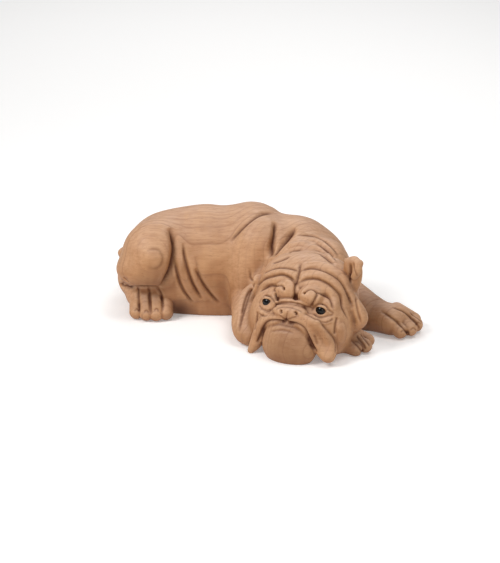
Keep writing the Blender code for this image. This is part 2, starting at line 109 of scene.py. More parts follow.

# sizes in the wood, in metres
RING_SPACING = 0.009  # from one growth ring to the next
RING_SWAY = 0.024  # how far a ring wanders
RING_SWAY_LENGTH = 0.11
RING_CONTRAST = 0.5
TAPER = (-0.04, 0.03, 0.7)  # from which X, how gently and how fast the log widens towards the head
PITH = (0.33, 0.02)  # Y and Z of the middle of the log, behind the dog
STREAK_WIDTH = 0.004
PORE_WIDTH = 0.0012  # drawn some four times as coarse as real vessels, so that they show
BLOTCH = 0.06
CURL_WIDTH = 0.012

MIX_AMOUNT, MIX_UNDER, MIX_OVER, MIXED = 0, 6, 7, 2  # a Mix node's sockets and output for colours
QUARTER_TURN = 90  # degrees
FLOOR_SIZE = 12  # metres
FLOOR_DROP = 0.0005  # metres below the wood, so that the two share no plane
SENSOR = 36  # millimetres
FRAME_HEIGHT = 563  # pixels of the photograph


def head_frame():
    """Right, forward and up of the head, as columns."""
    turn = Matrix.Rotation(-HEAD_YAW, 3, "Z") @ Matrix.Rotation(-HEAD_ROLL, 3, "Y")
    right = turn @ Vector((1, 0, 0))
    forward = turn @ Vector((0, -1, 0))
    up = turn @ Vector((0, 0, 1))
    return Matrix((right, forward, up)).transposed()


HEAD = head_frame()


def head_point(across, forward, up):
    return HEAD_PLACE + HEAD @ Vector((across, forward, up))


def middle(cad_node):
    low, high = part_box(cad_node)
    return (Vector(low) + Vector(high)) / 2


def glass_radius(cad_node):
    low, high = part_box(cad_node)
    return (high[0] - low[0]) / 2


EYES_APART = (middle("eye_left") - middle("eye_right")).length
UNIT = EYES_APART / (2 * EYE_SPREAD)  # metres in a form millimetre
EYE_RADIUS = glass_radius("eye_left") / UNIT
LEFT_EYE = head_point(EYE_MIDDLE + EYE_SPREAD, EYE_FRONT - EYE_RADIUS, EYE_HEIGHT)
PLACE = middle("eye_left") - UNIT * LEFT_EYE  # where the form's origin comes, in metres


class Ball:
    """A rounded mass: an ellipsoid with half-sizes along its own axes."""

    def __init__(self, centre, radii, turn=(0, 0, 0), blend=12, frame=None):
        axes = Euler([math.radians(angle) for angle in turn]).to_matrix()
        if frame is None:
            self.centre = np.array(centre, float)
        else:
            self.centre = np.array(head_point(*centre))
            axes = frame @ axes
        self.axes = np.array(axes)
        self.radii = np.array(radii, float)
        self.blend = blend

    def distance(self, points):
        local = (points - self.centre) @ self.axes
        near = np.linalg.norm(local / self.radii, axis=1)
        slope = np.linalg.norm(local / self.radii**2, axis=1)
        return near * (near - 1) / np.maximum(slope, 1e-9)

    def box(self):
        half = np.sqrt(((self.axes * self.radii) ** 2).sum(axis=1))
        return self.centre - half, self.centre + half

    def add_to(self, form):
        place = Matrix.Translation(Vector(self.centre)) @ Matrix(self.axes.tolist()).to_4x4()
        size = Matrix.Diagonal((*self.radii, 1))
        bmesh.ops.create_icosphere(form, subdivisions=3, radius=1, matrix=place @ size)


def smooth_path(points, steps=4):
    """Catmull-Rom points through the given ones, ends included."""
    points = np.array(points, float)
    padded = np.vstack([2 * points[0] - points[1], points, 2 * points[-1] - points[-2]])
    result = []
    for i in range(len(points) - 1):
        a, b, c, d = padded[i : i + 4]
        for t in np.arange(steps) / steps:
            bend = 2 * a - 5 * b + 4 * c - d
            swing = 3 * b - a - 3 * c + d
            result.append(0.5 * (2 * b + (c - a) * t + bend * t**2 + swing * t**3))
    result.append(points[-1])
    return np.array(result)


class Roll:
    """A limb, lip or fold: a round run along a smooth path, with a radius at each of its points."""

    def __init__(self, path, radii, blend=12, frame=None):
        if frame is not None:
            path = [head_point(*point) for point in path]
        run = smooth_path([(*point, radius) for point, radius in zip(path, radii)])
        self.points = run[:, :3]
        self.radii = run[:, 3]
        self.blend = blend

    def distance(self, points):
        best = np.full(len(points), np.inf)
        for i in range(len(self.points) - 1):
            start, along = self.points[i], self.points[i + 1] - self.points[i]
            share = np.clip((points - start) @ along / (along @ along), 0, 1)
            gap = np.linalg.norm(points - start - share[:, None] * along, axis=1)
            radius = self.radii[i] + share * (self.radii[i + 1] - self.radii[i])
            np.minimum(best, gap - radius, out=best)
        return best

    def box(self):
        radii = self.radii[:, None]
        return (self.points - radii).min(axis=0), (self.points + radii).max(axis=0)

    def add_to(self, form):
        for i in range(len(self.points) - 1):
            length = np.linalg.norm(self.points[i + 1] - self.points[i])
            count = max(1, int(length / (0.4 * min(self.radii[i], self.radii[i + 1]))))
            for share in np.arange(count) / count:
                place = self.points[i] + share * (self.points[i + 1] - self.points[i])
                radius = self.radii[i] + share * (self.radii[i + 1] - self.radii[i])
                bmesh.ops.create_icosphere(
                    form, subdivisions=2, radius=radius, matrix=Matrix.Translation(Vector(place))
                )
        bmesh.ops.create_icosphere(
            form, subdivisions=2, radius=self.radii[-1], matrix=Matrix.Translation(Vector(self.points[-1]))
        )


def on_both_sides(limb):
    """The limb on the near side of the body, and on the far one."""
    return limb(-1) + limb(1)


def trunk():
    return [
        Ball((-160, 118, 78), (86, 76, 86.5), blend=20),
        Ball((-178, 112, 50), (76, 60, 50), blend=20),
        Ball((-105, 122, 84), (92, 80, 89), blend=20),
        Ball((-30, 122, 86), (79, 84, 91), blend=20),
        Ball((44, 98, 84), (72, 76, 76), blend=16),
        Ball((24, 100, 106), (54, 54, 51), blend=14),
        Ball((-80, 122, 30), (120, 67, 58), blend=20),
        Ball((-243, 118, 92), (11, 9, 9), blend=8),
    ]


def hind_leg(side):
    """Folded hind leg: thigh, knee and a foot of four toes. The far one is tucked lower."""
    sunk = 0 if side < 0 else 34

    def place(x, off, z):
        return x, BODY_PLANE + side * off, z - sunk

    masses = [
        Ball(place(-186, 46, 110), (48, 42, 50), blend=24),
        Ball(place(-193, 54, 104), (48, 42, 48), blend=16),
        Ball(place(-202, 60, 84), (50, 36, 34), blend=12),
        Ball(place(-186, 82, 110), (19, 18, 19), blend=14),
        Ball((-203, BODY_PLANE + side * 42, 30), (36, 36, 22), blend=8),
    ]
    for x, reach in ((-220, 72), (-203, 80), (-187, 82), (-171, 77)):
        path = [
            (x * 0.5 - 100, BODY_PLANE + side * 42, 46),
            (x * 0.9 - 20, BODY_PLANE + side * (reach - 16), 34),
            (x, BODY_PLANE + side * (reach - 1), 12),
        ]
        masses.append(Roll(path, [13, 13, 12], blend=2))
    return masses


def forequarters():
    return [
        Ball((78, 90, 85), (52, 54, 52), blend=14),
        Ball((-14, 74, 112), (48, 44, 54), blend=16),
        Ball((-32, 54, 62), (34, 32, 64), blend=12),
        Roll([(-34, 50, 36), (-38, 0, 26), (-34, -44, 20), (10, -62, 20)], [30, 24, 21, 20], blend=8),
        Roll([(10, -40, 22), (60, -60, 20), (96, -72, 20)], [24, 20, 20], blend=8),
        Roll(
            [(78, 104, 50), (122, 53, 39), (153, 15, 29), (165, 8, 26), (178, -2, 24), (194, -17, 22)],
            [40, 35, 32, 29, 26, 22.5],
            blend=10,
        ),
    ]


def small_paw():
    toes = (
        ((128, -72, 22), (153, -74, 12)),
        ((120, -84, 20), (148, -94, 11)),
        ((108, -92, 16), (132, -104, 9)),
    )
    return [
        Ball((120, -82, 20), (26, 22, 20), blend=8),
        *[Roll([knuckle, tip], [13, 11], blend=2) for knuckle, tip in toes],
    ]


def long_paw():
    toes = (
        ((188, -14, 26), (208, -35, 12)),
        ((198, -6, 28), (224, -28, 13)),
        ((205, 4, 29), (235, -11, 14)),
        ((206, 14, 28), (234, 10, 14)),
    )
    return [
        Ball((203, -6, 23), (28, 22, 23), blend=10),
        *[Roll([knuckle, tip], [14, 12], blend=2) for knuckle, tip in toes],
    ]


def neck():
    return [
        Ball((58, 35, 84), (68, 62, 60), blend=16),
        Ball((62, 4, 60), (68, 58, 56), blend=16),
        Ball((98, 32, 85), (34, 50, 55), blend=16),
        Ball((4, 8, 52), (38, 44, 46), blend=14),
        Roll(
            [(-24, -2, 76), (-36, -16, 60), (-42, -36, 38), (-40, -54, 22), (-32, -64, 16)],
            [9, 15, 19, 20, 17],
            blend=8,
        ),
    ]


def eye_centre(side):
    """Middle of the glass ball, from how far forward its front stands."""
    return EYE_MIDDLE + side * EYE_SPREAD, EYE_FRONT - EYE_RADIUS, EYE_HEIGHT


def eyelids(side):
    """Upper and lower lid as thin rolls round the glass, meeting at an outer and an inner corner."""
    x, y, z = eye_centre(side)
    lids = []
    for rise, thickness in ((1, LID), (-1, 0.85 * LID)):
        path = []
        for turn in (-1.4, -0.7, 0, 0.7, 1.5):
            across = side * math.sin(turn) * (EYE_RADIUS + LID)
            up = rise * math.cos(turn) * (EYE_SHOWN + thickness)
            path.append((x + across, y + EYE_RADIUS * (0.5 - 0.16 * abs(turn)), z + up))
        ends = 0.7 * thickness
        lids.append(Roll(path, [ends, thickness, thickness, thickness, ends], blend=2, frame=HEAD))
    return lids


def head():
    masses = [
        Ball((-4, -66, 80), (76, 66, 68), blend=14, frame=HEAD),
        Ball((-3, -50, 40), (74, 60, 50), blend=16, frame=HEAD),
        Ball((-3, -8, 56), (58, 30, 41), blend=10, frame=HEAD),
        *chin(),
        Ball((1, 15, 79), (28.5, 14, 12), blend=2, frame=HEAD),
        Roll(
            [(-38, -2, 77), (-24, 7, 88), (-1, 11, 93), (20, 7, 91), (36, -2, 84)],
            [3, 4.5, 5, 4.5, 3],
            blend=3,
            frame=HEAD,
        ),
        Ball((-12, -5, 104), (22, 15, 16), blend=3, frame=HEAD),
        Ball((26, -5, 100), (21, 15, 15.5), blend=3, frame=HEAD),
    ]
    for side in (-1, 1):
        eye_across, _, eye_up = eye_centre(side)
        masses += [
            Ball((side * 33 - 4, -60, 92), (46, 50, 50), blend=12, frame=HEAD),
            Ball((side * 52 - 3, -30, 48), (33, 42, 48), blend=12, frame=HEAD),
            Ball((eye_across, -15, eye_up), (21, 15, 18), blend=6, frame=HEAD),
            *eyelids(side),
        ]
    return masses + flews() + ear() + [
        Ball((-84, -40, 92), (7, 14, 18), blend=6, frame=HEAD),
        Roll(
            [(71, -48, 100), (81, -52, 76), (89, -53, 58), (82, -52, 45)],
            [5, 11, 11.5, 9],
            blend=8,
            frame=HEAD,
        ),
    ]


def chin():
    return [
        Ball((-3, 12, 20), (45, 28, 35), blend=5, frame=HEAD),
        Ball((-4, 11, 40), (38, 23, 26), blend=8, frame=HEAD),
    ]


def flews():
    """Upper lips: a flap that hangs left of the chin as it is seen, and a wider one right of it."""
    right_flap = [
        *((-8, 21, 70), (-22, 19, 65), (-37, 15, 59), (-50, 11, 47)),
        *((-57, 9, 31), (-62, 12, 16), (-67, 19, 6)),
    ]
    left_flap = [
        *((20, 17, 73), (38, 14, 68), (48, 8, 59), (56, 4, 46)),
        *((61, 3, 30), (64, 7, 19), (65, 11, 13)),
    ]
    left_front = [
        *((8, 21, 72), (22, 20, 66), (34, 17, 57), (41, 13, 45)),
        *((48, 11, 30), (54, 12, 20), (60, 13, 14)),
    ]
    return [
        Roll(right_flap, [6, 8, 9.5, 10, 10.5, 9.5, 5.5], blend=3, frame=HEAD),
        Roll(left_flap, [8, 9.5, 10.5, 11, 11, 10.5, 8.5], blend=3, frame=HEAD),
        Roll(left_front, [6, 7.5, 9, 9, 9.5, 9.5, 8.5], blend=6, frame=HEAD),
    ]


def ear():
    """Left ear: a thin sheet that stands up, with its top folded forward and down."""
    return [
        Ball((73, -62, 124), (14, 6, 30), turn=(0, 6, -12), blend=8, frame=HEAD),
        Roll([(63, -60, 146), (74, -59, 148.5), (86, -57, 146)], [4.5, 5.5, 5.5], blend=5, frame=HEAD),
        Roll([(84, -55, 145), (84, -53, 135), (79, -52, 126)], [6, 7, 5.5], blend=3, frame=HEAD),
        Ball((73, -57, 138), (14, 6, 13), blend=4, frame=HEAD),
    ]


def masses_of_dog():
    return (
        trunk()
        + on_both_sides(hind_leg)
        + forequarters()
        + neck()
        + small_paw()
        + long_paw()
        + head()
    )


def join_smoothly(first, second, blend):
    overlap = np.maximum(blend - np.abs(first - second), 0) / blend
    return np.minimum(first, second) - overlap**2 * blend / 4


def form_distance(points, masses):
    """Distance to the blended form, below zero inside it."""
    result = np.full(len(points), 1e3)
    for mass in masses:
        low, high = mass.box()
        margin = 2 * mass.blend
        near = ((points > low - margin) & (points < high + margin)).all(axis=1)
        if near.any():
            result[near] = join_smoothly(result[near], mass.distance(points[near]), mass.blend)
    return result


def mesh_points(mesh):
    points = np.empty(len(mesh.vertices) * 3)
    mesh.vertices.foreach_get("co", points)
    return points.reshape(-1, 3)


def settle(mesh, masses, rounds, step=0.5, most=6):
    """Moves each vertex down or up the slope of the blended form, onto its surface."""
    points = mesh_points(mesh)
    for _ in range(rounds):
        distance = form_distance(points, masses)
        ahead = [form_distance(points + step * axis, masses) for axis in np.eye(3)]
        slope = (np.stack(ahead, axis=1) - distance[:, None]) / step
        steepness = np.maximum((slope**2).sum(axis=1), 0.3)
        move = np.clip(distance / steepness, -most, most)
        points -= move[:, None] * slope
    mesh.vertices.foreach_set("co", points.ravel())
    mesh.update()


def remesh(piece, voxel):
    modifier = piece.modifiers.new("Remesh", "REMESH")
    modifier.mode = "VOXEL"
    modifier.voxel_size = voxel
    bpy.context.view_layer.objects.active = piece
    bpy.ops.object.modifier_apply(modifier=modifier.name)


class View:
    """The photograph's view of the form. The carving is laid out in its pixels, as it is seen there."""

    aim = Vector((-32.4, 20, 76.4))  # form point that shows at the centre
    centre = (250, 281.5)  # pixel in the middle of the photograph
    distance = 2500  # form millimetres from the camera to the aim
    pitch = math.radians(20)
    size = 1.62  # form millimetres to a pixel at that distance

    def sight(self, spot):
        forward = Vector((0, math.cos(self.pitch), -math.sin(self.pitch)))
        up = Vector((0, math.sin(self.pitch), math.cos(self.pitch)))
        eye = self.aim - forward * self.distance
        across = (spot[0] - self.centre[0]) * self.size
        rise = (self.centre[1] - spot[1]) * self.size
        return eye, (forward * self.distance + Vector((1, 0, 0)) * across + up * rise).normalized()


class Stroke:
    """A crease cut along a smooth line, or a roll raised along it, with half width and depth or height."""

    def __init__(self, spots, width, depth=0.0, height=0.0, fade=0.2):
        self.spots = spots
        self.width = width
        self.depth = depth
        self.height = height
        self.fade = fade

    def lay(self, surface, view):
        """The line on the surface, as points and their normals."""
        line = []
        for spot in smooth_path(self.spots, steps=6):
            eye, sight = view.sight(spot)
            hit, normal, _, _ = surface.ray_cast(eye, sight)
            if hit is None:
                hit, normal, _, _ = surface.find_nearest(eye + sight * view.distance)
            line.append((*hit, *normal))
        return np.array(line)

    def shape(self, gap, share):
        """Move along the normal at these distances from the line, and at these shares of its length."""
        near = np.clip(1 - np.hypot(gap, BLUNT) / self.width, 0, 1)
        fade = np.clip(np.minimum(share, 1 - share) / self.fade, 0, 1) ** 0.7
        return fade * (self.height * (1 - (1 - near) ** 2) - self.depth * near**1.8)

    def stain_reach(self):
        return STAIN_FILL * self.width + STAIN_SEEP

    def stain(self, gap, share):
        """How dark the crease has stained at these distances and shares."""
        strength = min(1, STAIN_LEAST + self.depth / STAIN_DEPTH)
        fade = np.clip(np.minimum(share, 1 - share) / (0.6 * self.fade), 0, 1)
        return strength * np.clip(1 - gap / self.stain_reach(), 0, 1) ** 1.2 * fade


def mirrored(line):
    """The same line on the far side of the body."""
    result = line.copy()
    result[:, 1] = 2 * BODY_PLANE - result[:, 1]
    result[:, 4] *= -1
    return result


def along_line(points, normals, line, reach):
    """Points within reach of the line: which, how far, where along it, and how far they face its way."""
    places, facing = line[:, :3], line[:, 3:]
    near = ((points > places.min(axis=0) - reach) & (points < places.max(axis=0) + reach)).all(axis=1)
    index = np.flatnonzero(near)
    best = np.full(len(index), np.inf)
    run = np.zeros(len(index))
    front = np.zeros(len(index))
    lengths = np.maximum(np.linalg.norm(np.diff(places, axis=0), axis=1), 1e-6)
    starts = np.concatenate([[0], np.cumsum(lengths)])
    for i, length in enumerate(lengths):
        along = places[i + 1] - places[i]
        share = np.clip((points[index] - places[i]) @ along / length**2, 0, 1)
        gap = np.linalg.norm(points[index] - places[i] - share[:, None] * along, axis=1)
        closer = gap < best
        best[closer] = gap[closer]
        run[closer] = starts[i] + share[closer] * length
        front[closer] = (normals[index] @ facing[i])[closer]
    return index, best, run / starts[-1], np.clip(front * 3, 0, 1)


def surface_of(mesh):
    return BVHTree.FromPolygons([v.co for v in mesh.vertices], [p.vertices for p in mesh.polygons])


def mesh_normals(mesh):
    normals = np.empty(len(mesh.vertices) * 3)
    mesh.vertices.foreach_get("normal", normals)
    return normals.reshape(-1, 3)


def carve(mesh, strokes, both_sides):
    """Cuts and raises all strokes at once, each laid on the form as it is before any of them, and returns
    how dark the stain has settled in them."""
    surface = surface_of(mesh)
    points, normals = mesh_points(mesh), mesh_normals(mesh)
    view = View()
    move = np.zeros(len(points))
    stain = np.zeros(len(points))
    for stroke in (*strokes, *both_sides):
        line = stroke.lay(surface, view)
        for run in (line, mirrored(line)) if stroke in both_sides else (line,):
            index, gap, share, front = along_line(points, normals, run, stroke.width)
            move[index] += stroke.shape(gap, share) * front
            if stroke.depth:
                index, gap, share, front = along_line(points, normals, run, stroke.stain_reach())
                stain[index] = np.maximum(stain[index], stroke.stain(gap, share) * front)
    points += move[:, None] * normals
    mesh.vertices.foreach_set("co", points.ravel())
    mesh.update()
    return stain


def body_rolls():
    flank = [
        [(180.5, 255), (183.5, 272), (189, 288), (197.5, 302)],
        [(189, 256), (193, 272), (199, 286), (209, 300)],
    ]
    return [Stroke(line, 9, height=3) for line in flank]


def body_creases():
    thigh = [(169.8, 227.5), (174.3, 240), (175.2, 252.5), (172.5, 267.7), (167.1, 279.3), (160.9, 286.9)]
    hock = [(119, 285), (128, 287), (145.7, 287), (160.9, 287)]
    flank = [
        [(183.2, 243), (185, 257.9), (188.6, 272.1), (193, 283.8), (202, 298.9)],
        [(176, 262), (178.8, 279.3), (184.1, 291.8), (193, 303.4)],
        [(195, 268), (202.9, 283.8), (210.9, 294.5), (219.8, 304.3)],
    ]
    shoulder = [(230, 242), (241.5, 228.3), (253, 218.4), (262.1, 213.8), (272.8, 213.2)]
    return [
        Stroke(thigh, 14, depth=13),
        Stroke(hock, 7, depth=6),
        Stroke(shoulder, 9, depth=5),
        *[Stroke(fold, 6.5, depth=4.5) for fold in flank],
    ]


def neck_rolls():
    folds = [
        [(304, 238), (318, 241), (328, 247.5), (337, 257)],
        [(306, 246), (318, 248), (327, 254), (335, 262)],
        [(288, 246), (300, 243), (308, 245)],
    ]
    arm = [(251, 289), (246, 302), (241, 318), (238, 334)]
    return [Stroke(fold, 7, height=2.5) for fold in folds] + [Stroke(arm, 7, height=2.5)]


def neck_creases():
    deep = [
        [(275.9, 222), (275.1, 234.4), (272.1, 245.9), (269.8, 258)],
        [(296, 228), (286.6, 239), (279, 247.4), (272, 257)],
    ]
    folds = [
        [(296.6, 235.2), (310.3, 235.2), (321.8, 239), (331.8, 247.4), (339.4, 256.6)],
        [(315.7, 243.6), (324.1, 249), (331.8, 255.9), (337.9, 262)],
        [(311.1, 252), (320.3, 253.6), (328.7, 259.7), (334.8, 265)],
        [(285.1, 254.3), (295, 250.5), (303.5, 249.7)],
        [(272, 263), (283.6, 258.9), (290, 256)],
    ]
    arm = [
        [(255, 280), (248, 300), (242, 318), (239, 334)],
        [(250, 288), (245, 300), (241.3, 315)],
    ]
    ear_hollow = [(350.5, 263), (350.5, 272), (350.5, 284)]
    return [
        *[Stroke(crease, 10, depth=9) for crease in deep],
        *[Stroke(fold, 7, depth=4) for fold in folds],
        *[Stroke(fold, 7, depth=5) for fold in arm],
        Stroke(ear_hollow, 5, depth=4),
    ]


def face_rolls():
    right_brow = [
        [(301, 289), (309, 284.3), (319, 285), (328, 290.5), (335.5, 299), (338, 309)],
        [
            *((299.5, 277.5), (308, 273.6), (320, 274.6), (331.5, 280.5)),
            *((340.5, 290.5), (345.5, 302), (350, 313)),
        ],
        [(303, 266.5), (316, 263.5), (330, 267.5), (343, 277), (350, 289)],
    ]
    left_brow = [
        [(294, 289), (287.5, 280.8), (278, 279.3), (268, 281.8), (260, 287)],
        [(297, 277), (289.5, 272.8), (280, 271.3), (270, 272.8), (262.5, 277)],
    ]
    pouches = [
        [(316, 319.5), (324, 322), (332, 319.5)],
        [(259, 310.5), (263.5, 313), (269, 312.5)],
    ]
    cheek = [(340, 322), (342, 334), (341, 346)]
    return [
        *[Stroke(roll, 8, height=2.6) for roll in right_brow],
        *[Stroke(roll, 6.5, height=2.2) for roll in left_brow],
        *[Stroke(pouch, 5, height=2) for pouch in pouches],
        Stroke(cheek, 9, height=2.5),
    ]


def face_creases():
    middle = [(300.2, 262), (299, 271.3), (296, 284), (295.3, 294), (295.6, 302)]
    brow = [
        [
            *((299, 271.3), (311, 268.2), (321.6, 270.3), (332.1, 275.2)),
            *((339.1, 280.1), (344, 287.1), (348.4, 297.4), (353, 308)),
        ],
        [(298.5, 271.1), (291.5, 268.9), (281.9, 268), (273.9, 269.2), (264, 273.5)],
        [
            *((297, 283.6), (305.8, 279.4), (316.3, 279), (325, 282.2)),
            *((332, 286.8), (339.8, 295.5), (342.2, 307), (348.4, 319.4)),
        ],
        [(295.9, 281.7), (288.3, 276.6), (281.9, 274.7), (275.5, 275.9), (264.3, 279.4), (258, 285.5)],
    ]
    curls = [
        [
            *((303, 294), (306.8, 290.3), (311, 288.9), (315.3, 290.3)),
            *((323.3, 294.8), (329.3, 298), (332.1, 303.3), (333, 309)),
        ],
        [(283.5, 290), (281.5, 285.4), (274.9, 285.8), (269.8, 285.8), (264.3, 288.4), (260, 291)],
        [(316, 290), (317.5, 294), (316, 297.6), (314.2, 301.2), (311, 307)],
        [(275.5, 286), (274.5, 290), (275.5, 293.5), (276.7, 298), (279.1, 302)],
    ]
    muzzle = [
        [
            *((265, 313), (269.1, 310.7), (272.3, 308.5), (277.1, 304.3)),
            *((280.3, 302.8), (286.7, 302.3), (294.6, 303), (301, 305.5)),
        ],
        [
            *((303.3, 314.2), (308.2, 314.6), (314.6, 318.1), (319.8, 320.9)),
            *((326.8, 329.6), (333.9, 338.1), (336, 345.1), (335.5, 354)),
        ],
        [(337.4, 317), (335.6, 325.1), (334.6, 335)],
        [(257.3, 311), (256.6, 320.2), (254, 330)],
    ]
    mouth = [
        [
            *((287, 321.9), (276.6, 320.9), (269.6, 320.9), (265.4, 324)),
            *((262.9, 329.6), (260.4, 336.3), (257, 343.5)),
        ],
        [
            *((287, 321.9), (297, 324.4), (303.3, 327.9), (306.8, 333.9)),
            *((309.6, 339.8), (312.5, 346.1), (317, 353)),
        ],
    ]
    return [
        Stroke(middle, 6, depth=4.5),
        *[Stroke(line, 5, depth=3.2, fade=0.12) for line in brow],
        *[Stroke(line, 5, depth=4, fade=0.1) for line in curls],
        *[Stroke(line, 5, depth=3, fade=0.12) for line in muzzle],
        *[Stroke(line, 6, depth=5, fade=0.08) for line in mouth],
    ]


def small_body_creases():
    """Finer creases of the trunk and hind feet, the same on the far side."""
    hock_wrinkles = [
        [(121.6, 281.5), (125, 284), (130.5, 285)],
        [(123, 277), (126.5, 280.5), (129.5, 282.5)],
    ]
    knee = [(153.8 + 9 * math.cos(turn), 258.8 + 10 * math.sin(turn)) for turn in np.arange(-2.6, 2.6, 0.5)]
    toes = [
        [(137.7, 286), (138.5, 300), (139.9, 315)],
        [(148.4, 286), (150, 302), (151.1, 315)],
        [(156.5, 286), (161.8, 297), (163.6, 311)],
    ]
    nails = [
        [(134.4, 311.4), (136.8, 309), (139.2, 311.6)],
        [(143.8, 312.8), (146.4, 310.4), (149.2, 313)],
        [(154, 311), (156.5, 308.6), (159, 311.2)],
    ]
    return [
        *[Stroke(wrinkle, 4, depth=2) for wrinkle in hock_wrinkles],
        Stroke(knee, 9, depth=1, fade=0.3),
        *[Stroke(toe, 5, depth=4, fade=0.4) for toe in toes],
        *[Stroke(nail, 2.8, depth=2.2) for nail in nails],
    ]


def small_neck_creases():
    near_ear = [
        [(249.5, 268), (250.2, 273), (251, 279), (255.5, 281.7)],
        [(256.4, 281.7), (253, 287), (250, 294)],
    ]
    ear_fold = [(353.5, 262), (354.5, 270), (357.5, 276.5)]
    neck_flap = [(356, 296), (357, 306), (358.8, 316), (361, 323)]
    return [
        *[Stroke(line, 4, depth=2.5) for line in near_ear],
        Stroke(ear_fold, 3, depth=2),
        Stroke(neck_flap, 5, depth=3),
    ]


def paw_creases():
    long_paw_toes = [
        [(380.5, 310.5), (391.2, 317.3), (398.9, 323.5), (406.5, 331.1), (409, 337)],
        [(391.2, 306.6), (402.7, 310.5), (410.3, 316.6), (418, 325), (420, 332)],
        [(410.3, 312.7), (419.5, 318.9), (423, 323)],
    ]
    nails = [
        [(400, 333), (403.5, 330.5), (407, 333.4)],
        [(409.6, 331), (413.4, 328), (416.6, 330.6)],
        [(415.6, 325), (419, 322.4), (421.6, 325)],
    ]
    small_paw_toes = [
        [(356.8, 334.9), (362.9, 344.1), (366, 350)],
        [(360.6, 333.4), (368.3, 343.3), (370.5, 347)],
        [(350.7, 339.5), (358, 346), (362.9, 352.5)],
    ]
    return [
        *[Stroke(toe, 5.5, depth=4.5) for toe in long_paw_toes],
        *[Stroke(nail, 2.8, depth=2.2) for nail in nails],
        *[Stroke(toe, 5, depth=3.5) for toe in small_paw_toes],
    ]


def small_face_creases():
    bridge = [
        *((275.5, 310), (278.7, 307.9), (283.5, 306.9), (289.9, 307.2)),
        *((296.2, 309.1), (300.5, 311.1), (304, 314)),
    ]
    under_beads = [(296, 303), (300.5, 304.4), (305.8, 306.8), (311, 307.5), (313.2, 309.6)]
    flew_groove = [(314.6, 334.6), (316, 339.8), (317.7, 345.4)]
    right_eye = [
        [
            *((311.5, 311.2), (314, 308), (317.5, 305.2), (321.6, 304.4)),
            *((326, 306.2), (329.5, 310.5), (334.6, 314.2)),
        ],
        [(313.5, 313.6), (317, 316.4), (322.5, 317.2), (328.6, 315.8), (334, 314.6)],
        [(320, 321.5), (325, 322.6), (330, 321), (333.5, 318.4)],
    ]
    left_eye = [
        [
            *((258.6, 303.5), (261, 299), (264.5, 296), (268.5, 295.8)),
            *((272, 298.4), (274.8, 303), (276, 308)),
        ],
        [(259, 305.2), (262, 308.8), (266.5, 310.6), (270.5, 309.4)],
        [(259, 313), (263, 315.6), (267.8, 315.6)],
    ]
    lower_lip = [
        [(271, 326.5), (275.5, 324.8), (280.3, 324.3), (285.1, 325.4), (294.6, 327.6), (300, 331)],
        [(270.5, 331.5), (277, 330.2), (285, 330.5), (294, 333)],
    ]
    return [
        Stroke(bridge, 4, depth=2),
        Stroke(under_beads, 4.5, depth=2.5),
        Stroke(flew_groove, 5, depth=2),
        *[Stroke(line, 3, depth=2.2, fade=0.1) for line in right_eye + left_eye],
        *[Stroke(line, 4, depth=1.6) for line in lower_lip],
    ]


def drilled_and_scratched():
    """Last touches with a small tool: nostrils, pits of the brow curls, drilled dots, whisker scratches."""
    nose_base = [(279, 315), (284.5, 318.9), (287, 319.6), (294.6, 317.3), (300, 315.2)]
    parting = [(287.9, 310.7), (286.7, 315.5), (286.2, 321.5)]
    nostrils = [
        [(281.2, 309.4), (280.2, 311.4), (281.4, 313.8)],
        [(294.6, 311.4), (296.4, 313.2), (296.2, 315.8)],
    ]
    brow_pits = [
        [(283.4, 287), (283.6, 288.6), (283.4, 290.4)],
        [(302.8, 292.4), (304.2, 293), (305.2, 293.4)],
    ]
    dots = (
        (278.5, 291.6), (281.4, 292.2), (280, 295.4), (305, 298.4), (308, 299.6), (306.2, 302.2),
        (301.4, 319.3), (303.8, 319), (305.2, 321.2), (263.6, 319.4),
    )
    scratches = [
        [(x + 0.4 * math.sin(5 * y + x), y), (x + 0.7, y + 2)]
        for x in (317.5, 319.8, 322, 324.4, 326.4)
        for y in (331, 334.4, 337.8)
    ]
    return [
        Stroke(nose_base, 3, depth=1.8, fade=0.1),
        Stroke(parting, 2.8, depth=2, fade=0.05),
        *[Stroke(line, 4.4, depth=7, fade=0.05) for line in nostrils],
        *[Stroke(line, 4, depth=6, fade=0.05) for line in brow_pits],
        *[Stroke([(x - 0.4, y), (x, y + 0.2), (x + 0.4, y)], 1.6, depth=1.8, fade=0.05) for x, y in dots],
        *[Stroke(line, 1.4, depth=0.5) for line in scratches],
    ]


def hollows(mesh, points):
    """How deep each point lies in a hollow, at a narrow and at a wide scale, in form millimetres."""
    edges = np.empty(len(mesh.edges) * 2, np.int64)
    mesh.edges.foreach_get("vertices", edges)
    first, second = edges.reshape(-1, 2).T
    count = len(points)

    def sum_round(values):
        """For each point, the sum of the values at the points that an edge joins it to."""
        ahead = np.bincount(first, values[second], minlength=count)
        return ahead + np.bincount(second, values[first], minlength=count)

    neighbours = np.maximum(sum_round(np.ones(count)), 1)
    normals = mesh_normals(mesh)
    smooth = points
    found = []
    for rounds in HOLLOW_ROUNDS:
        for _ in range(rounds):
            smooth = np.stack([sum_round(values) for values in smooth.T], axis=1) / neighbours[:, None]
        depth = ((smooth - points) * normals).sum(axis=1)
        for _ in range(2):
            depth = 0.5 * depth + 0.5 * sum_round(depth) / neighbours
        found.append(depth)
    return found


def deselect_all():
    bpy.ops.object.select_all(action="DESELECT")


def apply_modifier(piece, modifier):
    deselect_all()
    piece.select_set(True)
    bpy.context.view_layer.objects.active = piece
    bpy.ops.object.modifier_apply(modifier=modifier.name)


def cut_away(piece, tool):
    """Takes the tool's shape out of the piece, and the tool out of the scene."""
    modifier = piece.modifiers.new(tool.name, "BOOLEAN")
    modifier.operation = "DIFFERENCE"
    modifier.solver = "EXACT"
    modifier.object = tool
    apply_modifier(piece, modifier)
    bpy.data.objects.remove(tool)


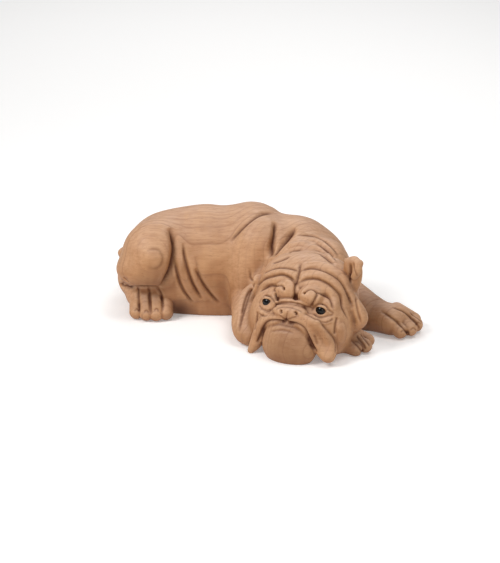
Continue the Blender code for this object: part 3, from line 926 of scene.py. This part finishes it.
def set_attribute(mesh, name, values):
    attribute = mesh.attributes.new(name, "FLOAT", "POINT")
    attribute.data.foreach_set("value", np.asarray(values, np.float32))


def blank_of(masses):
    """The dog's form as one closed skin, before any carving, in form millimetres."""
    form = bmesh.new()
    for mass in masses:
        mass.add_to(form)
    mesh = bpy.data.meshes.new("carved_dog")
    form.to_mesh(mesh)
    form.free()
    dog = bpy.data.objects.new("carved_dog", mesh)
    bpy.context.scene.collection.objects.link(dog)
    for grain, rounds in ((ROUGH_GRAIN, 2), (FINE_GRAIN, 1)):
        remesh(dog, grain)
        settle(dog.data, masses, rounds)
    return dog


def saw_flat(dog):
    """Takes away what lies below the floor, as the saw left the block."""
    deselect_all()
    bpy.ops.mesh.primitive_cube_add(size=1, location=(0, 0, -SAW_DEPTH / 2), scale=(2, 2, SAW_DEPTH))
    cut_away(dog, bpy.context.active_object)


def hollow_sockets(dog):
    for cad_node in ("eye_left", "eye_right"):
        deselect_all()
        radius = glass_radius(cad_node) + SOCKET_GAP
        bpy.ops.mesh.primitive_uv_sphere_add(
            segments=48, ring_count=24, radius=radius, location=middle(cad_node)
        )
        cut_away(dog, bpy.context.active_object)


def thin_out(dog):
    triangles = sum(len(face.vertices) - 2 for face in dog.data.polygons)
    if triangles > MOST_TRIANGLES:
        thinner = dog.modifiers.new("thinner", "DECIMATE")
        thinner.ratio = MOST_TRIANGLES / triangles
        apply_modifier(dog, thinner)


def nearest_of(old_points, new_points):
    """For each new point, the number of the old one that lies nearest."""
    tree = KDTree(len(old_points))
    for index, point in enumerate(old_points):
        tree.insert(point, index)
    tree.balance()
    return np.array([tree.find(point)[1] for point in new_points])


def painted_shade_at(points):
    """How much painted shade each form point gets, from the spots where parts shade each other."""
    painted_shade = np.zeros(len(points))
    for place, reach, strength in PAINTED_SHADE_SPOTS:
        gap = np.linalg.norm(points - np.array(place), axis=1)
        near = np.clip(SHADE_SPOT_CORE - SHADE_SPOT_CORE * gap / reach, 0, 1)
        painted_shade = np.maximum(painted_shade, strength * near)
    return painted_shade


def carve_dog():
    """The whole dog in fine relief, in metres, in the place of the CAD body."""
    dog = blank_of(masses_of_dog())
    stain = carve(
        dog.data,
        neck_rolls()
        + face_rolls()
        + neck_creases()
        + face_creases()
        + small_neck_creases()
        + paw_creases()
        + small_face_creases()
        + drilled_and_scratched(),
        both_sides=body_rolls() + body_creases() + small_body_creases(),
    )
    carved_points = mesh_points(dog.data)
    narrow, wide = hollows(dog.data, carved_points)
    dog.data.transform(Matrix.Translation(PLACE) @ Matrix.Scale(UNIT, 4))
    saw_flat(dog)
    hollow_sockets(dog)
    thin_out(dog)

    last_points = (mesh_points(dog.data) - np.array(PLACE)) / UNIT
    nearest = nearest_of(carved_points, last_points)
    set_attribute(dog.data, "stain", stain[nearest])
    set_attribute(dog.data, "narrow_hollow", narrow[nearest])
    set_attribute(dog.data, "wide_hollow", wide[nearest])
    set_attribute(dog.data, "painted_shade", painted_shade_at(last_points))
    deselect_all()
    dog.select_set(True)
    bpy.context.view_layer.objects.active = dog
    bpy.ops.object.shade_smooth_by_angle(angle=SOFT_EDGE)
    return dog


def glass_eye(name, cad_node, gaze):
    """A polished glass ball whose points know how many degrees they are from where the eye looks."""
    radius = glass_radius(cad_node)
    deselect_all()
    bpy.ops.mesh.primitive_uv_sphere_add(segments=64, ring_count=32, radius=radius)
    ball = bpy.context.active_object
    ball.name = name
    upright = mesh_points(ball.data)[:, 2] / radius
    set_attribute(ball.data, "off_axis", np.degrees(np.arccos(np.clip(upright, -1, 1))))
    turned = gaze.to_track_quat("Z", "Y").to_matrix().to_4x4()
    ball.data.transform(Matrix.Translation(middle(cad_node)) @ turned)
    ball.data.polygons.foreach_set("use_smooth", [True] * len(ball.data.polygons))
    return ball


def linear(hex_colour):
    """An sRGB hex colour as the linear values that shaders take."""
    parts = [int(hex_colour[i : i + 2], 16) / 255 for i in (1, 3, 5)]
    return (*(c / 12.92 if c <= 0.04045 else ((c + 0.055) / 1.055) ** 2.4 for c in parts), 1)


def grey(value):
    return (value, value, value, 1)


def new_material(name):
    material = bpy.data.materials.new(name)
    material.use_nodes = True
    material.node_tree.nodes.clear()
    return material, material.node_tree


def node(tree, kind, inputs=(), stops=(), **settings):
    """Adds one node with its settings and the stops of its ramp. Its inputs come by name or in order, each
    as a value, as another node's output, or as a node, which stands for its first output."""
    made = tree.nodes.new("ShaderNode" + kind)
    for name, value in settings.items():
        setattr(made, name, value)
    for name, value in inputs.items() if isinstance(inputs, dict) else enumerate(inputs):
        if isinstance(value, bpy.types.Node):
            value = value.outputs[0]
        if isinstance(value, bpy.types.NodeSocket):
            tree.links.new(value, made.inputs[name])
        else:
            made.inputs[name].default_value = value
    if stops:
        elements = made.color_ramp.elements
        while len(elements) < len(stops):
            elements.new(0.5)
        for element, (place, colour) in zip(elements, stops):
            element.position = place
            element.color = colour
    return made


def growth_rings(tree, spot, sway):
    """Late wood, as a line in each ring round the pith. The log widens towards the head, and no two rings
    are equally dark."""
    from_pith = node(tree, "VectorMath", (spot, (0, *PITH)), operation="SUBTRACT")
    across_log = node(tree, "VectorMath", (from_pith, (0, 1, 1)), operation="MULTIPLY")
    radius = node(tree, "VectorMath", (across_log,), operation="LENGTH").outputs["Value"]
    start, ease, rate = TAPER
    along_log = node(tree, "SeparateXYZ", (spot,)).outputs["X"]
    ahead = node(tree, "Math", (along_log, start), operation="SUBTRACT")
    squared = node(tree, "Math", (ahead, ahead, ease**2), operation="MULTIPLY_ADD")
    eased = node(tree, "Math", (squared,), operation="SQRT")
    widening = node(tree, "Math", (ahead, eased), operation="ADD")
    wider = node(tree, "Math", (widening, rate / 2, radius), operation="MULTIPLY_ADD")
    swayed = node(tree, "Math", (sway, RING_SWAY, wider), operation="MULTIPLY_ADD")
    rings_out = node(tree, "Math", (swayed, RING_SPACING), operation="DIVIDE")
    within_ring = node(tree, "Math", (rings_out,), operation="FRACT")
    number = node(tree, "Math", (rings_out,), operation="FLOOR")
    darkness = ((0.0, 0.15), (0.55, 0.0), (0.8, 0.35), (0.93, 1.0), (1.0, 0.15))
    late_wood = node(tree, "ValToRGB", (within_ring,), [(place, grey(dark)) for place, dark in darkness])
    chance = node(tree, "TexWhiteNoise", {"W": number}, noise_dimensions="1D")
    strength = node(tree, "Math", (chance, 0.8, 0.2), operation="MULTIPLY_ADD")
    return node(tree, "Math", (late_wood, strength), operation="MULTIPLY")


def suar_wood():
    """Suar (rain tree) wood, carved, sanded and waxed: warm tan with broad growth rings that follow the
    bulges like contour lines, short dark pores along the log, and dark stain left in the creases. Painted
    shade darkens the hollows and undersides, and painted light pales the tops."""
    material, tree = new_material("waxed_suar_wood")
    spot = node(tree, "TexCoord").outputs["Object"]
    noises = []
    for stretch, width, detail, roughness in (
        ((0.45, 1, 1), RING_SWAY_LENGTH, 2, 0.45),
        ((0.12, 1, 1), STREAK_WIDTH, 4, 0.6),
        ((0.14, 1, 1), PORE_WIDTH, 2, 0.5),
        ((1, 0.25, 0.25), CURL_WIDTH, 1, 0.4),
        ((1, 1, 1), BLOTCH, 3, 0.55),
    ):
        drawn_out = node(tree, "Mapping", {"Vector": spot, "Scale": stretch})
        pattern = {"Vector": drawn_out, "Scale": 1 / width, "Detail": detail, "Roughness": roughness}
        noises.append(node(tree, "TexNoise", pattern))
    sway, streaks, pores, curl, blotches = noises
    streak = node(tree, "MapRange", {"Value": streaks, "From Min": 0.42, "From Max": 0.62})
    pore = node(tree, "MapRange", {"Value": pores, "From Min": 0.6, "From Max": 0.72})
    ring_line = growth_rings(tree, spot, sway)

    facing = node(tree, "NewGeometry").outputs["Normal"]
    faces_up = node(tree, "SeparateXYZ", (facing,)).outputs["Z"]
    # painted light on what faces up, and painted shade on what faces down
    painted_top_light = node(tree, "Math", (faces_up, 0.95), operation="MULTIPLY", use_clamp=True)
    painted_underside_shade = node(tree, "Math", (faces_up, -0.9, 0.25), operation="MULTIPLY_ADD", use_clamp=True)

    stain, narrow, wide, painted_shade = (
        node(tree, "Attribute", attribute_name=name).outputs["Fac"]
        for name in ("stain", "narrow_hollow", "wide_hollow", "painted_shade")
    )
    in_creases = node(tree, "Math", (stain, 0.74), operation="MULTIPLY")
    # painted shade deep in narrow and wide hollows, joined with the stain in the creases
    narrow_only = node(tree, "Math", (narrow, 1.2), operation="MULTIPLY", use_clamp=True)
    in_narrow = node(tree, "Math", (narrow_only, 0.75), operation="MULTIPLY")
    in_either = node(tree, "Math", (in_creases, in_narrow), operation="MAXIMUM")
    in_wide = node(tree, "Math", (wide, 0.14), operation="MULTIPLY", use_clamp=True)
    crease_stain_and_painted_shade = node(tree, "Math", (in_wide, 0.7, in_either), operation="MULTIPLY_ADD", use_clamp=True)
    worn = node(tree, "Math", (narrow, -1.6), operation="MULTIPLY", use_clamp=True)

    tans = ((0.3, "#9A6A42"), (0.46, "#B17D53"), (0.56, "#BF8D62"), (0.72, "#A97349"))
    colour = node(tree, "ValToRGB", (blotches,), [(place, linear(tan)) for place, tan in tans])
    for share, strength, tint in (
        (painted_top_light, 1, "#CBA48A"),  # painted light: paler and less red where it faces up
        (painted_underside_shade, 1, "#7C4420"),  # painted shade: deeper and redder where it faces the floor
        (streak, 0.34, "#925A33"),
        (curl, 0.4, "#D8A877"),  # soft shimmer across the grain
        (ring_line, RING_CONTRAST, "#84543A"),
        (pore, 0.34, "#7B4C30"),
        (crease_stain_and_painted_shade, 1, "#552A12"),  # stain in the creases, with painted shade in the creases and hollows
        # painted shade in the spots where parts shade each other
        (painted_shade, 1, "#5B3319"),
        (worn, 0.3, "#DDB692"),  # edges that sanding and hands have rubbed pale
    ):
        amount = node(tree, "Math", (share, strength), operation="MULTIPLY")
        layer = {MIX_AMOUNT: amount, MIX_UNDER: colour, MIX_OVER: linear(tint)}
        colour = node(tree, "Mix", layer, data_type="RGBA").outputs[MIXED]

    grainy = node(tree, "Math", (streaks, 0.18, 0.46), operation="MULTIPLY_ADD")
    rough = node(tree, "Math", (crease_stain_and_painted_shade, 0.15, grainy), operation="MULTIPLY_ADD")
    pitted = node(tree, "Math", (pore, -0.7), operation="MULTIPLY")
    height = node(tree, "Math", (streaks, 0.3, pitted), operation="MULTIPLY_ADD")
    surface = {
        "Base Color": colour,
        "Roughness": rough,
        "Normal": node(tree, "Bump", {"Height": height, "Strength": 0.25, "Distance": 0.0005}),
        "IOR": 1.5,
        "Specular IOR Level": 0.3,
        "Coat Weight": 0.05,
        "Coat Roughness": 0.35,
    }
    node(tree, "OutputMaterial", {"Surface": node(tree, "BsdfPrincipled", surface)})
    return material


def eye_glass():
    """Blown and polished glass bead: near-black pupil in a deep brown iris, with a small sharp shine."""
    material, tree = new_material("polished_eye_glass")
    off_axis = node(tree, "Attribute", attribute_name="off_axis").outputs["Fac"]
    share = node(tree, "Math", (off_axis, QUARTER_TURN), operation="DIVIDE", use_clamp=True)
    browns = ((0.0, "#0B0A0A"), (0.36, "#0D0B0A"), (0.42, "#1E120C"), (0.62, "#2B1A10"), (0.7, "#120D0B"))
    surface = {
        "Base Color": node(tree, "ValToRGB", (share,), [(place, linear(brown)) for place, brown in browns]),
        "Roughness": 0.05,
        "IOR": 1.5,
        "Specular IOR Level": 0.25,
    }
    node(tree, "OutputMaterial", {"Surface": node(tree, "BsdfPrincipled", surface)})
    return material


def studio_floor():
    """Matt white painted sweep: even and pale, with no pattern, and a faint glow that keeps it white."""
    material, tree = new_material("matt_white_sweep")
    surface = {
        "Base Color": linear("#F7F6F5"),
        "Roughness": 0.9,
        "Emission Color": linear("#FFFFFF"),
        "Emission Strength": 0.2,
    }
    node(tree, "OutputMaterial", {"Surface": node(tree, "BsdfPrincipled", surface)})
    return material


def dress(piece, material):
    piece.data.materials.clear()
    piece.data.materials.append(material)
    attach(piece, "root")


def area_light(name, place, aim, size, power):
    light = bpy.data.lights.new(name, "AREA")
    light.shape = "DISK"
    light.size = size
    light.energy = power
    lamp = bpy.data.objects.new(name, light)
    lamp.location = place
    lamp.rotation_euler = (Vector(aim) - Vector(place)).to_track_quat("-Z", "Y").to_euler()
    bpy.context.scene.collection.objects.link(lamp)


def set_the_studio():
    deselect_all()
    bpy.ops.mesh.primitive_plane_add(size=FLOOR_SIZE, location=(0, 2, -FLOOR_DROP))
    floor = bpy.context.active_object
    floor.name = "floor"
    floor.data.materials.append(studio_floor())
    dog = (0, 0, 0.08)
    behind = (0, 2.9, 0)
    for name, place, aim, size, power in (
        ("window_upper_left", (-1.5, -1.0, 1.8), dog, 0.9, 32.5),
        ("skylight", (0.6, -0.4, 2.1), dog, 1.1, 14),
        ("soft_front", (0.6, -2.2, 1.0), dog, 1.4, 7),
        ("rim_back", (0.6, 1.6, 1.7), dog, 1.2, 5),
        ("backdrop_wash", (0, 2.9, 2.4), behind, 2.5, 32),
    ):
        area_light(name, place, aim, size, power)
    world = bpy.data.worlds.new("pale_room")
    world.use_nodes = True
    background = world.node_tree.nodes["Background"]
    background.inputs["Color"].default_value = linear("#FFFFFF")
    background.inputs["Strength"].default_value = 0.25
    bpy.context.scene.world = world
    bpy.context.scene.view_settings.view_transform = "Standard"


def set_the_camera():
    """The photograph's view: straight from the dog's right side, looking down a little."""
    camera = bpy.data.cameras.new("camera")
    camera.sensor_width = SENSOR
    camera.lens = SENSOR * View.distance / (FRAME_HEIGHT * View.size)
    camera.clip_end = 50
    holder = bpy.data.objects.new("camera", camera)
    eye, forward = View().sight(View.centre)
    holder.location = PLACE + eye * UNIT
    holder.rotation_euler = forward.to_track_quat("-Z", "Y").to_euler()
    bpy.context.scene.collection.objects.link(holder)
    bpy.context.scene.camera = holder


deselect_all()
carved_dog = carve_dog()
dress(carved_dog, suar_wood())
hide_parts("body")
glass = eye_glass()
for cad_node, turn in (("eye_left", EYES_OUT), ("eye_right", -EYES_OUT)):
    gaze = (HEAD @ Vector((turn, 1, EYES_UP))).normalized()
    bead = glass_eye("glass_" + cad_node, cad_node, gaze)
    dress(bead, glass)
    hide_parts(cad_node)
set_the_studio()
set_the_camera()
